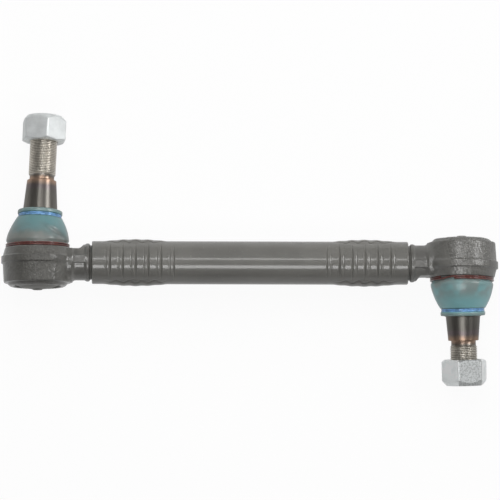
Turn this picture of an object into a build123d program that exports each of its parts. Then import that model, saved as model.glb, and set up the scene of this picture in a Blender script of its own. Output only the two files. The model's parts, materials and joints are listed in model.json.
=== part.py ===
from build123d import *
import os
from collections import namedtuple
from math import cos, radians, sin, sqrt, tan

# Stabilizer link: a steel tube crimped onto two forged heads, each with a ball stud, its races,
# a sealing boot and a lock nut. X runs along the tube, the left stud points to +Y, the right one
# to -Y, and Z is up from the table that the link lies on. All sizes are in millimetres.

# Link
ball_spacing = 375.0
running_gap = 0.05
seat_gap = 0.02

# Tube
tube_diameter = 38.0
tube_wall = 5.0
tube_setback = 48.0
tube_chamfer = 0.7

# Crimp, made by two jaws that close along Z
crimp_count = 5
crimp_first = 16.0
crimp_pitch = 11.25
crimp_depth = 1.3
crimp_nose = 1.6
crimp_half_angle = 58.0
run_out_depth = 0.7
crease_offset = 3.8
crease_depth = 0.4
crease_half_angle = 40.0
bore_rib_depth = 0.8
ridge_radius = 12.0
ridge_height = 1.5
ridge_bump = 0.4

# Forged head
shank_tail = 14.0
shank_root_proud = 1.3
shank_root_width = 2.0
neck_proud = 1.9
neck_relief_depth = 4.1
neck_hump_run = 6.1
neck_flare_radius = 2.4
collar_proud = 1.0
collar_width = 3.4
relief_undercut = 3.2
parting_wall = 7.8
closing_wall = 6.8
flash_proud = 1.3
flash_proud_neck = 0.7
flash_bottom = -1.2
flash_top = 5.0
roof_thickness = 4.4
closing_step = 0.4
lip_wall = 3.6
lip_height = 2.2
lip_cover = 2.0
edge_break = 0.6

# Ball and bearing
ball_radius = 20.0
ball_flat_depth = 3.0
race_wall = 3.0
race_top_inset = 11.5
race_bottom_inset = 7.5
race_split = 0.3
spring_thickness = 1.2
spring_clearance = 0.9
spring_space = 3.1
swing_limit = 20.0
mouth_clearance = 0.2

# End cover and its seal
cover_rim = 3.2
cover_thickness = 3.0
cover_relief = 0.8
cover_button_radius = 4.5
cover_button_height = 0.6
seal_wire = 0.72
seal_offset = 1.5

# Stud
neck_pin_radius = 11.3
neck_pin_exposed = 4.7
seat_step = 1.0
seat_overhang = 0.65
taper_large_diameter = 30.4
taper_ratio = 6.0
undercut_depth = 1.1
undercut_width = 4.2
thread_diameter = 24.0
thread_length = 40.0
thread_chamfer = 1.4
centre_hole_radius = 2.2

# Boot and its clamp rings
spigot_wall = 3.25
spigot_height = 3.4
ring_ledge = 4.5
boot_foot_wall = 2.2
boot_wall = 2.0
boot_bulge = 1.1
boot_height = 23.1
boot_shoulder = 2.25
housing_wire = 0.8
collar_wall = 1.5
collar_web = 1.6
stud_wire = 0.75
ring_turns = 2
lip_thickness = 3.6
lip_proud = 2.05

# Lock nut
nut_across_flats = 36.0
nut_height = 23.0
nut_cone_height = 5.2
nut_end_land = 3.5
nut_face_chamfer = 0.8

# What differs between the two ends: each stud lies where it was left, leaning a little
# towards the tube and drooping to the table, and each nut is screwed on to another depth.
End = namedtuple("End", "name inward droop taper_length nut_gap nut_turn")
left_lean_inward = 2.4
left_droop = 4.2
left_taper_length = 26.5
left_nut_gap = 35.2
left_nut_turn = 10.0
right_lean_inward = -1.4
right_droop = 6.0
right_taper_length = 21.3
right_nut_gap = 16.9
right_nut_turn = 18.6
left = End("left", left_lean_inward, left_droop, left_taper_length, left_nut_gap, left_nut_turn)
right = End("right", right_lean_inward, right_droop, right_taper_length, right_nut_gap, right_nut_turn)


def mouth_radius(height):
    """The head's mouth clears the ball at its lower edge and opens as the stud swings."""
    lower_edge = sqrt((ball_radius + mouth_clearance)**2 - race_top**2)
    return lower_edge + (height - race_top) * tan(radians(swing_limit))


# Sizes that follow
tube_radius = tube_diameter / 2
tube_bore_radius = tube_radius - tube_wall
crimp_last = crimp_first + (crimp_count - 1) * crimp_pitch
shank_end = tube_setback + crimp_last + shank_tail
shank_root = tube_setback - shank_root_width
shank_root_radius = tube_bore_radius + shank_root_proud
neck_radius = tube_bore_radius + neck_proud
neck_relief = neck_radius - neck_relief_depth
collar_radius = neck_radius + collar_proud
collar_start = shank_root - collar_width
bore_radius = ball_radius + race_wall
parting_radius = bore_radius + parting_wall
closing_radius = bore_radius + closing_wall
race_top = ball_radius - race_top_inset
race_bottom = ball_radius - race_bottom_inset
cover_top = race_bottom + spring_space
cover_seat = cover_top + cover_rim
closing_height = cover_seat - closing_step
rim_height = race_top + roof_thickness
spigot_top = rim_height + spigot_height
spigot_radius = mouth_radius(spigot_top) + spigot_wall
rim_radius = spigot_radius + ring_ledge
housing_ring_radius = spigot_radius + boot_foot_wall + housing_wire + 3 * running_gap
seat_radius = taper_large_diameter / 2 + seat_step
stud_ring_seat = seat_radius + running_gap + collar_wall
boot_throat_radius = stud_ring_seat + boot_shoulder
boot_throat_height = spigot_top + boot_height
seat_start = boot_throat_height - collar_web - 6 * running_gap
lip_start = boot_throat_height + 2 * stud_wire * ring_turns + 3 * running_gap
lip_end = lip_start + lip_thickness
taper_start = lip_end + seat_overhang

sideways = Plane(origin=(0, 0, 0), x_dir=(1, 0, 0), z_dir=(0, 1, 0))


def level(sketch, height):
    """Lay a flat sketch square to the Y axis at a height."""
    return Pos(0, height, 0) * (sideways * sketch)


def lathe(*edges):
    """Turn an outline of radius and height about the Y axis."""
    return revolve(make_face(edges), Axis.Y)


def turned(points):
    """Turn a closed outline of straight runs about the Y axis."""
    return lathe(Polyline(*points, close=True))


def bar(radius, start, end):
    """A round bar along X."""
    return Pos((start + end) / 2, 0, 0) * Cylinder(radius, end - start, rotation=(0, 90, 0))


def lean_axis(end):
    """The line through the ball about which the stud leans, square to both its axes."""
    return Axis((0, 0, 0), (-tan(radians(end.droop)), 0, -tan(radians(end.inward))))


def lean_angle(end):
    """How far the stud leans from the housing's axis, in degrees."""
    upright = Vector(0, 1, 0)
    leaning = Vector(tan(radians(end.inward)), 1, -tan(radians(end.droop)))
    return upright.get_angle(leaning)


def leaned(shape, end, share=1.0):
    """Lean a shape that was made upright, by a share of the stud's whole lean."""
    return shape.rotate(lean_axis(end), lean_angle(end) * share)


def jaw_ring(radius, depth, half_angle, nose, grow=0.0):
    """The rib of one jaw: it sinks to the depth in front and runs out at the half angle."""
    floor = radius - depth
    offset = (radius**2 - floor**2) / (2 * floor - 2 * radius * cos(radians(half_angle)))
    return Pos(0, 0, -offset) * Torus(floor + offset + nose, nose + grow, rotation=(0, 90, 0))


def along_crimp(ring, first, count):
    """Copies of a ring at the crimp's pitch, for the front jaw and for the rear one."""
    front = [Pos(tube_setback + first + step * crimp_pitch, 0, 0) * ring for step in range(count)]
    return front + [copy.rotate(Axis.X, 180) for copy in front]


def crimp_ridge():
    """Metal pushed out between the jaws, highest mid-way and with a bump beside each groove."""
    valleys = []
    for step in range(crimp_count + 1):
        x = tube_setback + crimp_first + (step - 0.5) * crimp_pitch
        swell = ridge_height * sin(radians(180 * step / crimp_count))
        valleys.append((x, ridge_radius + swell))
    start, finish = (valleys[0][0], 0), (valleys[-1][0], 0)
    edges = [Line(finish, start), Line(start, valleys[0])]
    for (x0, r0), (x1, r1) in zip(valleys, valleys[1:]):
        crest = ((x0 + x1) / 2, (r0 + r1) / 2 + ridge_bump)
        edges.append(ThreePointArc((x0, r0), crest, (x1, r1)))
    edges.append(Line(valleys[-1], finish))
    spindle = revolve(make_face(edges), Axis.X)
    return Pos(0, tube_radius - ridge_radius, 0) * spindle


def crimp_bore_ribs(grow=0.0):
    """The tube's bore, pushed in under each groove."""
    ring = jaw_ring(tube_bore_radius, bore_rib_depth, crimp_half_angle, crimp_nose, grow)
    rib = ring & bar(tube_bore_radius + tube_wall / 2, -2 * crimp_nose, 2 * crimp_nose)
    return along_crimp(rib, crimp_first, crimp_count)


def tube_end(plain):
    """Crimp the left end of a plain tube that has its origin at the left ball."""
    groove = jaw_ring(tube_radius, crimp_depth, crimp_half_angle, crimp_nose)
    crease = jaw_ring(tube_radius, crease_depth, crease_half_angle, crimp_nose)
    run_out = jaw_ring(tube_radius, run_out_depth, crimp_half_angle, crimp_nose)
    marks = along_crimp(groove, crimp_first, crimp_count)
    marks += along_crimp(run_out, crimp_last + crimp_pitch, 1)
    marks += along_crimp(crease, crimp_first - crease_offset, crimp_count + 1)
    ridge = crimp_ridge()
    outside = plain - marks + [ridge, ridge.rotate(Axis.X, 180)]
    return outside - bar(tube_bore_radius, 0, ball_spacing) + crimp_bore_ribs()


def make_tube():
    """The whole tube, made as two crimped halves."""
    middle = ball_spacing / 2
    half = [
        (tube_setback, 0),
        (tube_setback, tube_radius - tube_chamfer),
        (tube_setback + tube_chamfer, tube_radius),
        (middle, tube_radius),
        (middle, 0),
    ]
    plain = revolve(make_face(Polyline(*half, close=True)), Axis.X)
    crimped = tube_end(plain)
    left_half = Pos(-middle, 0, 0) * crimped
    return left_half + left_half.rotate(Axis.Z, 180)


def housing_shell():
    """The eye of the head before it is bored, with its rolled lip and the boot's spigot."""
    lip_low = cover_seat + lip_height
    lip_radius = bore_radius - lip_cover
    lip_root = bore_radius + lip_wall
    crown = ((lip_radius + bore_radius) / 2, -lip_low - edge_break)
    rolled = ThreePointArc(
        (lip_root, -closing_height),
        ((lip_root + bore_radius) / 2, -(closing_height + 2 * lip_low) / 3 - edge_break),
        crown,
    )
    walls = Polyline(
        crown,
        (lip_radius, -lip_low),
        (0, -lip_low),
        (0, spigot_top),
        (spigot_radius, spigot_top),
        (spigot_radius, rim_height),
        (rim_radius - edge_break, rim_height),
        (rim_radius, rim_height - edge_break),
        (parting_radius, flash_top),
        (parting_radius, flash_bottom),
        (closing_radius, -closing_height + edge_break),
        (closing_radius - edge_break, -closing_height),
        (lip_root, -closing_height),
    )
    return lathe(*walls.edges(), rolled)


def housing_bore():
    """All that is cut out of the eye: the ball's bore, the mouth and the cover's opening."""
    through = 2 * cover_seat
    lip_radius = bore_radius - lip_cover
    return turned([
        (0, -through),
        (lip_radius, -through),
        (lip_radius, -cover_seat),
        (bore_radius, -cover_seat),
        (bore_radius, race_top),
        (mouth_radius(race_top), race_top),
        (mouth_radius(spigot_top), spigot_top),
        (mouth_radius(spigot_top), spigot_top + spigot_height),
        (0, spigot_top + spigot_height),
    ])


def neck_bar():
    """The neck as a turned form along X: flared at the eye, with a collar before the tube."""
    flare_radius = min(neck_flare_radius, closing_height - neck_radius - edge_break / 2)
    flare_end = parting_radius + flare_radius
    flare_top = neck_radius + flare_radius
    bend = flare_radius * (1 - sqrt(0.5))
    flare = ThreePointArc(
        (parting_radius, flare_top),
        (parting_radius + bend, neck_radius + bend),
        (flare_end, neck_radius),
    )
    outline = Polyline(
        (flare_end, neck_radius),
        (collar_start - edge_break, neck_radius),
        (collar_start, collar_radius - edge_break / 2),
        (collar_start + edge_break, collar_radius),
        (shank_root - edge_break, collar_radius),
        (shank_root, collar_radius - edge_break),
        (shank_root, 0),
        (0, 0),
        (0, flare_top),
        (parting_radius, flare_top),
    )
    return revolve(make_face([flare, *outline.edges()]), Axis.X)


def neck_relief_cut():
    """The hollow forged into the neck on the stud side, which ends in an S-shaped hump."""
    top = 2 * neck_radius
    relief_start = rim_radius - relief_undercut
    relief_end = collar_start - neck_hump_run
    middle_x = (relief_end + collar_start) / 2
    middle_y = (neck_relief + collar_radius) / 2
    rise = (collar_radius - neck_relief) * 0.35
    run = neck_hump_run / 4
    floor = Polyline(
        (collar_start, collar_radius),
        (collar_start, top),
        (0, top),
        (0, neck_relief + edge_break),
        (relief_start, neck_relief + edge_break),
        (relief_start + edge_break, neck_relief),
        (relief_end, neck_relief),
    )
    dip = ThreePointArc(
        (relief_end, neck_relief),
        (middle_x - run, middle_y - rise),
        (middle_x, middle_y),
    )
    hump = ThreePointArc(
        (middle_x, middle_y),
        (middle_x + run, middle_y + rise),
        (collar_start, collar_radius),
    )
    return extrude(make_face([*floor.edges(), dip, hump]), amount=2 * neck_radius, both=True)


def make_head():
    """A forged head: eye, neck and the shank that the tube is crimped onto."""
    neck = neck_bar() - neck_relief_cut()
    root_bar = bar(shank_root_radius, collar_start, tube_setback - seat_gap)
    shank = bar(tube_bore_radius - seat_gap, collar_start, shank_end) - crimp_bore_ribs(seat_gap)
    flash_thickness = flash_top - flash_bottom
    flash_circle = Circle(parting_radius + flash_proud)
    flash_width = 2 * (neck_radius + flash_proud_neck)
    flash_strip = Pos(collar_start / 2, 0) * Rectangle(collar_start, flash_width)
    flash = extrude(level(flash_circle + flash_strip, flash_bottom), amount=flash_thickness)
    body = housing_shell() + neck + root_bar + flash
    return body - housing_bore() + shank


def race(top, bottom):
    """One race ring of the bearing, with the ball's hollow in it."""
    ring = turned([(0, top), (bore_radius - seat_gap, top), (bore_radius - seat_gap, bottom), (0, bottom)])
    return ring - Sphere(ball_radius + running_gap)


def make_upper_race():
    return race(race_top - seat_gap, race_split)


def make_lower_race():
    return race(-race_split, -race_bottom)


def make_disc_spring():
    """A coned disc spring that presses the lower race onto the ball."""
    outer = bore_radius - 3 * running_gap
    inner = sqrt(ball_radius**2 - race_bottom**2) + spring_clearance
    high, low = -race_bottom - seat_gap, -cover_top + seat_gap
    return turned([
        (inner, high),
        (inner, high - spring_thickness),
        (outer, low),
        (outer, low + spring_thickness),
    ])


def make_end_cover():
    """A domed disc, held in by the head's rolled lip, with a groove for its seal."""
    rim = bore_radius - seat_gap
    shoulder = bore_radius - lip_cover - seat_gap
    seat = cover_seat - seat_gap
    hollow = ball_radius + cover_relief
    crown = hollow + cover_thickness
    button = cover_button_radius
    dome = ThreePointArc(
        (shoulder, -seat - edge_break),
        ((shoulder + button) / 2, -seat - edge_break - 0.7 * (crown - seat - edge_break)),
        (button, -crown),
    )
    rest = Polyline(
        (button, -crown),
        (button - edge_break, -crown - cover_button_height),
        (0, -crown - cover_button_height),
        (0, -cover_top),
        (rim, -cover_top),
        (rim, -seat),
        (shoulder, -seat),
        (shoulder, -seat - edge_break),
    )
    groove_floor = rim - 2 * seal_wire - seat_gap
    groove_top = -cover_top - seal_offset + seal_wire + seat_gap
    groove_low = -cover_top - seal_offset - seal_wire - seat_gap
    groove = turned([
        (groove_floor, groove_top),
        (bore_radius + 1, groove_top),
        (bore_radius + 1, groove_low),
        (groove_floor, groove_low),
    ])
    return lathe(dome, *rest.edges()) - Sphere(hollow) - groove


def make_cover_seal():
    ring = Torus(bore_radius - seat_gap - seal_wire, seal_wire, rotation=(90, 0, 0))
    return Pos(0, -cover_top - seal_offset, 0) * ring


def make_stud(end):
    """Ball, neck, boot seat, taper and plain thread cylinder, turned between centres."""
    ball_flat = ball_radius - ball_flat_depth
    flat_radius = sqrt(ball_radius**2 - ball_flat**2)
    neck_start = sqrt(ball_radius**2 - neck_pin_radius**2)
    ball_side = ThreePointArc((flat_radius, -ball_flat), (ball_radius, 0), (neck_pin_radius, neck_start))
    taper_end = taper_start + end.taper_length
    small_radius = (taper_large_diameter - end.taper_length / taper_ratio) / 2
    thread = thread_diameter / 2
    undercut = thread - undercut_depth
    thread_start = taper_end + undercut_width
    tip = taper_end + thread_length
    rest = Polyline(
        (neck_pin_radius, neck_start),
        (neck_pin_radius, spigot_top + neck_pin_exposed),
        (seat_radius - edge_break, seat_start),
        (seat_radius, seat_start + edge_break),
        (seat_radius, taper_start - edge_break),
        (taper_large_diameter / 2, taper_start),
        (small_radius, taper_end - edge_break),
        (small_radius - edge_break, taper_end),
        (undercut, taper_end + edge_break),
        (undercut, thread_start - edge_break),
        (thread, thread_start + edge_break),
        (thread, tip - thread_chamfer),
        (thread - thread_chamfer, tip),
        (centre_hole_radius, tip),
        (0, tip - centre_hole_radius * sqrt(3)),
        (0, -ball_flat),
        (flat_radius, -ball_flat),
    )
    return leaned(lathe(ball_side, *rest.edges()), end)


def boot_sections():
    """Height, radius and share of the lean, from the foot to the throat."""
    foot_radius = spigot_radius + running_gap + boot_foot_wall
    start = spigot_top - seat_gap
    full = foot_radius + boot_bulge
    rise = boot_throat_height - start
    fall = full - boot_throat_radius
    shape = [(0.0, None), (0.10, 0.0), (0.25, 0.06), (0.43, 0.23), (0.6, 0.42), (0.77, 0.62), (0.91, 0.86), (1.0, 1.0)]
    sections = []
    for along, shrink in shape:
        radius = foot_radius if shrink is None else full - fall * shrink
        share = along * along * (3 - 2 * along)
        sections.append((start + rise * along, radius, share))
    return sections


def boot_loft(end, inset):
    """Loft through round sections that turn from the housing's axis to the stud's."""
    faces = []
    for height, radius, share in boot_sections():
        faces.append(leaned(level(Circle(radius - inset), height), end, share))
    return loft(faces)


def make_boot(end):
    """Rubber boot: a foot on the spigot, a bulged wall, a ring track and a lip round the stud."""
    foot_inner = spigot_radius + running_gap
    start, foot_outer, _ = boot_sections()[0]
    foot = turned([
        (0, rim_height + 2 * running_gap),
        (foot_outer, rim_height + 2 * running_gap),
        (foot_outer, start),
        (0, start),
    ])
    lip_radius = stud_ring_seat + lip_proud
    web_low = boot_throat_height - collar_web
    web_radius = boot_throat_radius - edge_break
    collar = turned([
        (0, web_low),
        (web_radius, web_low),
        (web_radius, boot_throat_height),
        (stud_ring_seat, boot_throat_height),
        (stud_ring_seat, lip_start),
        (lip_radius - edge_break, lip_start),
        (lip_radius, lip_start + edge_break),
        (lip_radius, lip_end - edge_break),
        (lip_radius - edge_break, lip_end),
        (0, lip_end),
    ])
    foot_bore = turned([(0, 0), (foot_inner, 0), (foot_inner, start + edge_break), (0, start + edge_break)])
    collar_bore = turned([
        (0, web_low - 1),
        (seat_radius + running_gap, web_low - 1),
        (seat_radius + running_gap, lip_end + 1),
        (0, lip_end + 1),
    ])
    wall = foot + boot_loft(end, 0) - foot_bore - boot_loft(end, boot_wall)
    return wall + leaned(collar, end) - leaned(collar_bore, end)


def wire_rings(radius, wire, start):
    """Closed turns of round wire that lie one on the other."""
    ring = Torus(radius, wire, rotation=(90, 0, 0))
    turns = [Pos(0, start + wire * (2 * turn + 1), 0) * ring for turn in range(ring_turns)]
    seam_top = start + wire * (2 * ring_turns - 1)
    seam = turned([
        (radius - wire / 2, start + wire),
        (radius + wire / 2, start + wire),
        (radius + wire / 2, seam_top),
        (radius - wire / 2, seam_top),
    ])
    return seam + turns


def make_housing_ring():
    return wire_rings(housing_ring_radius, housing_wire, rim_height + seat_gap)


def make_stud_ring(end):
    radius = stud_ring_seat + running_gap + stud_wire
    ring = wire_rings(radius, stud_wire, boot_throat_height + 2 * running_gap)
    return leaned(ring, end)


def make_nut(end):
    """All-metal lock nut with a long cone at its outer end."""
    corner = nut_across_flats / sqrt(3)
    base = taper_start + end.taper_length + end.nut_gap
    top = base + nut_height
    hexagon = RegularPolygon(nut_across_flats / 2, 6, major_radius=False)
    prism = extrude(level(hexagon, base), amount=nut_height)
    face_radius = nut_across_flats / 2 - nut_face_chamfer
    face_drop = (corner - face_radius) * tan(radians(30))
    bore = thread_diameter / 2 + running_gap
    blank = turned([
        (bore + edge_break, base),
        (face_radius, base),
        (corner, base + face_drop),
        (corner, top - nut_cone_height),
        (bore + nut_end_land, top),
        (bore + edge_break, top),
        (bore, top - edge_break),
        (bore, base + edge_break),
    ])
    return leaned((prism & blank).rotate(Axis.Y, 30 + end.nut_turn), end)


shared_makers = {
    "forged_head": make_head,
    "upper_race": make_upper_race,
    "lower_race": make_lower_race,
    "disc_spring": make_disc_spring,
    "end_cover": make_end_cover,
    "cover_seal": make_cover_seal,
    "boot_housing_ring": make_housing_ring,
}
leaning_makers = {
    "ball_stud": make_stud,
    "boot": make_boot,
    "boot_stud_ring": make_stud_ring,
    "lock_nut": make_nut,
}


def export_at(shape, end, name):
    """Move a piece that was made at the origin to its own end of the link and write it."""
    if end is right:
        shape = shape.rotate(Axis.Z, 180)
    offset = ball_spacing / 2 if end is right else -ball_spacing / 2
    export_step(Pos(offset, 0, 0) * shape, f"parts/{end.name}_{name}.step")


os.makedirs("parts", exist_ok=True)
export_step(make_tube(), "parts/tube.step")
for name, maker in shared_makers.items():
    piece = maker()
    for end in (left, right):
        export_at(piece, end, name)
for name, maker in leaning_makers.items():
    for end in (left, right):
        export_at(maker(end), end, name)
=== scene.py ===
import json
from math import acos, cos, pi, radians, sin, sqrt, tan

import bmesh
import bpy
import numpy as np
from mathutils import Matrix, Vector, noise


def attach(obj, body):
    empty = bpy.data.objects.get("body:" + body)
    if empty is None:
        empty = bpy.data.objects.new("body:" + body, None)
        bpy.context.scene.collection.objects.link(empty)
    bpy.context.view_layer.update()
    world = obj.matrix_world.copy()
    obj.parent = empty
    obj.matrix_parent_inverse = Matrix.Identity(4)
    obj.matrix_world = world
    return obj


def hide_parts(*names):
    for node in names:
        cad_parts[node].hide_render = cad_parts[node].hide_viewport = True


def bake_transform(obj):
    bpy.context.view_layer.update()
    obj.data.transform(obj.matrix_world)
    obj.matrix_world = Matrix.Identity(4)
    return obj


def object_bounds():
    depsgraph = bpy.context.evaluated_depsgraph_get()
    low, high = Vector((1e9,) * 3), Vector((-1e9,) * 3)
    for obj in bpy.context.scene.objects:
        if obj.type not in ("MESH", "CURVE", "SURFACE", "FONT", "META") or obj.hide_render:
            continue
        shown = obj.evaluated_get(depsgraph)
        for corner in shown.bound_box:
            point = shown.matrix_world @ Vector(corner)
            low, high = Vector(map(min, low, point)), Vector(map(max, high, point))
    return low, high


bl_info = {
    "name": "Stabilizer Link",
    "version": (1, 0, 0),
    "blender": (4, 5, 0),
    "location": "View3D > Sidebar > Stabilizer Link",
    "description": "Dresses a stabilizer link: crimped tube, forged heads, ball studs, boots and lock nuts",
    "category": "Object",
}

LINK_BODY = "link_body"
ROUND = 2 * pi
SHARP_EDGE = radians(50)
MIRRORED_LOSS = 0.4

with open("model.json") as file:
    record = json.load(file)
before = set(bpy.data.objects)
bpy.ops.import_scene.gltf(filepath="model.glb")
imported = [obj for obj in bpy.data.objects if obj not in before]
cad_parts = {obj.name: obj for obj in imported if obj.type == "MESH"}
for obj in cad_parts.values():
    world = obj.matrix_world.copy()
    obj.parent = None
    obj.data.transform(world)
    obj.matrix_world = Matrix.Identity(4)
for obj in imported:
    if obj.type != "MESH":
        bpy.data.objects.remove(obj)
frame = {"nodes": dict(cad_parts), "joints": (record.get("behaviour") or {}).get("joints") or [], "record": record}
cad_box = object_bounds()
joints = {joint["name"]: joint for joint in frame["joints"]}
mounts = {mount["name"]: mount for mount in frame["record"]["mounts"]}
slot_colours = {entry["slot"]: tuple(entry["base_color"]) for entry in frame["record"]["materials"]}


def number_setting(name, description, default, **kind):
    """A number that a user can change."""
    return bpy.props.FloatProperty(name=name, description=description, default=default, **kind)


def length_setting(name, description, default):
    """A length in metres that a user can change."""
    return number_setting(name, description, default, unit="LENGTH")


def angle_setting(name, description, default):
    """An angle that a user can change."""
    return number_setting(name, description, default, subtype="ANGLE")


def power_setting(name, description, default):
    """A lamp's power that a user can change."""
    return number_setting(name, description, default, unit="POWER")


def count_setting(name, description, default):
    """A whole number that a user can change."""
    return bpy.props.IntProperty(name=name, description=description, default=default)


def colour_setting(name, description, default):
    """A colour that a user can change."""
    return bpy.props.FloatVectorProperty(
        name=name, description=description, default=default, subtype="COLOR")


def group_setting(name, description, kind):
    """A group of settings that belong together."""
    return bpy.props.PointerProperty(name=name, description=description, type=kind)


class TubeSizes(bpy.types.PropertyGroup):
    """Sizes of the crimped tube."""

    radius: length_setting("Radius", "Outer radius of the tube", 0.019)
    bore: length_setting("Bore", "Radius of the tube's bore", 0.014)
    setback: length_setting("Setback", "From each ball to the tube's end", 0.048)
    chamfer: length_setting("Chamfer", "Chamfer of the tube's end", 0.0007)
    groove_count: count_setting("Grooves", "Grooves that the jaws press in at each end", 6)
    groove_first: length_setting("First groove", "From the tube's end to the first groove", 0.016)
    groove_pitch: length_setting("Groove pitch", "From one groove to the next", 0.01125)
    groove_depth: length_setting("Groove depth", "Depth of a groove in front", 0.0013)
    groove_angle: angle_setting(
        "Groove reach", "How far round a groove runs from the jaw's middle", radians(58))
    crease_back: length_setting("Crease place", "From a groove back to its shallow crease", 0.0038)
    crease_depth: length_setting("Crease depth", "Depth of the shallow crease beside a groove", 0.00045)
    jaw_edge: angle_setting(
        "Jaw edge", "Angle from the jaws' line to the seam that their edges leave", radians(66))
    jaw_scallop: angle_setting("Jaw scallop", "How far the seam swings at each groove", radians(4))
    jaw_seam_angle: angle_setting("Seam width", "Half width of the seam", radians(2.3))
    jaw_seam_depth: length_setting("Seam depth", "Depth of the seam", 0.001)
    ridge_height: length_setting("Ridge height", "How far metal stands out between the jaws", 0.0015)
    ridge_bump: length_setting("Ridge bump", "Extra height of the ridge at each groove", 0.0004)


class HeadSizes(bpy.types.PropertyGroup):
    """How a forged head's skin is made."""

    grain: length_setting("Skin grain", "Size of the faces of the head's mesh", 0.0005)
    rounding: count_setting("Rounding", "Smoothing rounds that soften the forged edges", 5)
    fillet: count_setting("Fillet", "Smoothing rounds where the neck joins the eye", 45)
    waviness: length_setting("Waviness", "Height of the skin's soft waves", 0.00022)
    darkness: number_setting("Paint shade", "How dark the heads' paint is beside the tube's", 0.82)
    pebbles: length_setting("Pebbles", "Height of the skin's fine pebbles", 0.00017)


class CoverSizes(bpy.types.PropertyGroup):
    """Sizes of the domed end cover."""

    radius: length_setting("Radius", "Radius of the cover's rim", 0.02298)
    dome_radius: length_setting("Dome radius", "Radius of the part that shows inside the lip", 0.02098)
    top: length_setting("Top", "From the ball's centre to the cover's inner face", 0.0156)
    seat: length_setting("Seat", "From the ball's centre to the lip that holds the cover", 0.01878)
    crown: length_setting("Crown", "From the ball's centre to the dome's crown", 0.0238)
    hollow: length_setting("Hollow", "Radius of the hollow that clears the ball", 0.0208)
    button_radius: length_setting("Button radius", "Radius of the button on the crown", 0.0045)
    button_height: length_setting("Button height", "Height of the button on the crown", 0.0006)


class StudSizes(bpy.types.PropertyGroup):
    """Sizes of the ball stud that its mounts don't give."""

    ball_radius: length_setting("Ball radius", "Radius of the ball", 0.020)
    ball_flat: length_setting("Ball flat", "From the ball's centre to its flat", 0.017)
    neck_radius: length_setting("Neck radius", "Radius of the neck above the ball", 0.0113)
    neck_end: length_setting("Neck end", "Where the neck starts to widen", 0.021)
    seat_start: length_setting("Seat start", "Where the boot's seat starts", 0.0375)
    seat_step: length_setting("Seat step", "How far the boot's seat stands over the taper", 0.001)
    taper_ratio: number_setting("Taper ratio", "Length of the taper for each unit of diameter", 6.0)
    undercut: length_setting("Undercut", "Depth of the groove before the thread", 0.0011)
    pitch: length_setting("Thread pitch", "Pitch of the thread", 0.0015)
    thread_depth: length_setting("Thread depth", "Depth of the thread's groove", 0.00092)
    centre_hole: length_setting("Centre hole", "Radius of the turned centre in the stud's tip", 0.0022)
    tip_chamfer: length_setting("Tip chamfer", "Chamfer of the thread's tip", 0.0014)


class BootSizes(bpy.types.PropertyGroup):
    """Sizes of the boot and of its lip."""

    bottom: length_setting("Bottom", "From the ball's centre to the boot's lower edge", 0.0130)
    foot_top: length_setting("Foot top", "Where the foot ends and the wall swells", 0.0163)
    foot_radius: length_setting("Foot radius", "Outer radius of the foot", 0.02666)
    foot_bore: length_setting("Foot bore", "Radius of the foot's bore", 0.02446)
    bulge: length_setting("Bulge", "Widest radius of the wall", 0.02776)
    throat_radius: length_setting("Throat radius", "Radius of the wall's upper end", 0.020)
    throat: length_setting("Throat", "From the ball's centre to the wall's upper end", 0.0394)
    track_radius: length_setting("Track radius", "Radius of the track for the blue ring", 0.01775)
    lip_start: length_setting("Lip start", "Where the lip starts", 0.04255)
    lip_end: length_setting("Lip end", "Where the lip ends", 0.04615)
    lip_radius: length_setting("Lip radius", "Outer radius of the lip", 0.0198)
    lip_bore: length_setting("Lip bore", "Radius of the hole for the stud", 0.01625)
    wall: length_setting("Wall", "Thickness of the boot's wall", 0.002)
    bend_margin: length_setting(
        "Bend margin", "How far from the foot and the throat the wall starts to bend", 0.0042)
    dents: length_setting("Dents", "Depth of the soft dents in the wall", 0.0005)


class RingSizes(bpy.types.PropertyGroup):
    """Sizes of the two rings that hold the boot."""

    turns: count_setting("Turns", "Turns of wire in each ring", 2)
    jog: angle_setting("Jog", "Angle over which the wire climbs to its next turn", radians(26))
    housing_radius: length_setting("Housing ring", "Radius of the housing ring's line", 0.02756)
    housing_wire: length_setting("Housing wire", "Radius of the housing ring's wire", 0.0008)
    housing_start: length_setting("Housing start", "From the ball's centre to the housing ring", 0.01292)
    stud_radius: length_setting("Stud ring", "Radius of the stud ring's line", 0.01855)
    stud_wire: length_setting("Stud wire", "Radius of the stud ring's wire", 0.00075)
    stud_start: length_setting("Stud start", "From the ball's centre to the stud ring", 0.0395)


class NutSizes(bpy.types.PropertyGroup):
    """Sizes of the lock nut."""

    across_flats: length_setting("Across flats", "Width of the nut across its flats", 0.036)
    cone_height: length_setting("Cone height", "Height of the cone at the outer end", 0.0052)
    end_land: length_setting("End land", "Width of the flat round the bore at the outer end", 0.0035)
    bore: length_setting("Bore", "Radius of the bore over the thread's tips", 0.01205)
    edge: length_setting("Edge", "Rounding of the nut's edges", 0.0005)


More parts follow.
